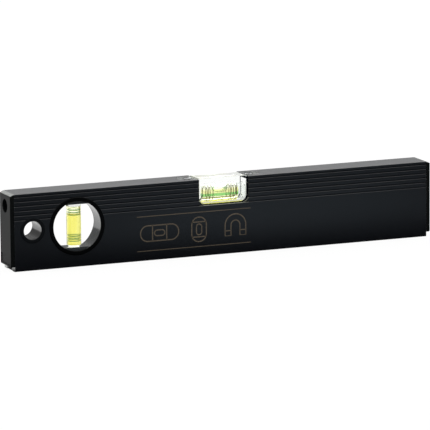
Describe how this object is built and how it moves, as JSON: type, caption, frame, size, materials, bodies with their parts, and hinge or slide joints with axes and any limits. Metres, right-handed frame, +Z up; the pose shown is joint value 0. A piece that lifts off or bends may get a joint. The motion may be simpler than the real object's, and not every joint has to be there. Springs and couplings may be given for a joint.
{
  "type": "magnetic spirit level",
  "caption": "Short box-section spirit level with a clear horizontal vial, a plumb vial in a round window, a hang hole and a magnetic base, for checking level and plumb.",
  "frame": {"origin": "on the surface that the base stands on, under the middle of the bar", "axes": "+X along the bar, away from the plumb window; +Z up, from the magnetic base to the top face; the front face, whose window shows the plumb vial nearest, looks towards -Y"},
  "size_m": [0.3, 0.021, 0.051],
  "materials": {
    "black_anodised": "fine matt black anodising, bare metal where milled",
    "cap_plastic": "fine moulded texture",
    "frame_plastic": "satin moulded",
    "clear_acrylic": "polished, clear",
    "vial_liquid": "fluorescent yellow-green, clear",
    "ring_ink": "printed lines",
    "white_plastic": "moulded",
    "plated_steel": "zinc plated",
    "pole_steel": "cold rolled strip",
    "magnet": "bonded ferrite strip"
  },
  "bodies": {
    "root": {"body_extrusion": "black_anodised", "end_cap_left": "cap_plastic", "end_cap_right": "cap_plastic", "main_vial_block": "clear_acrylic", "main_vial_liquid": "vial_liquid", "main_vial_lines": "ring_ink", "main_vial_plug": "clear_acrylic", "vial_screw_left": "plated_steel", "vial_screw_right": "plated_steel", "plumb_frame_front": "frame_plastic", "plumb_frame_rear": "frame_plastic", "plumb_vial_tube": "clear_acrylic", "plumb_vial_liquid": "vial_liquid", "plumb_vial_lines": "ring_ink", "plumb_vial_plug": "white_plastic", "hang_bush_front": "frame_plastic", "hang_bush_rear": "frame_plastic", "magnet_strip": "magnet", "pole_strip_front": "pole_steel", "pole_strip_rear": "pole_steel"}
  },
  "joints": []
}
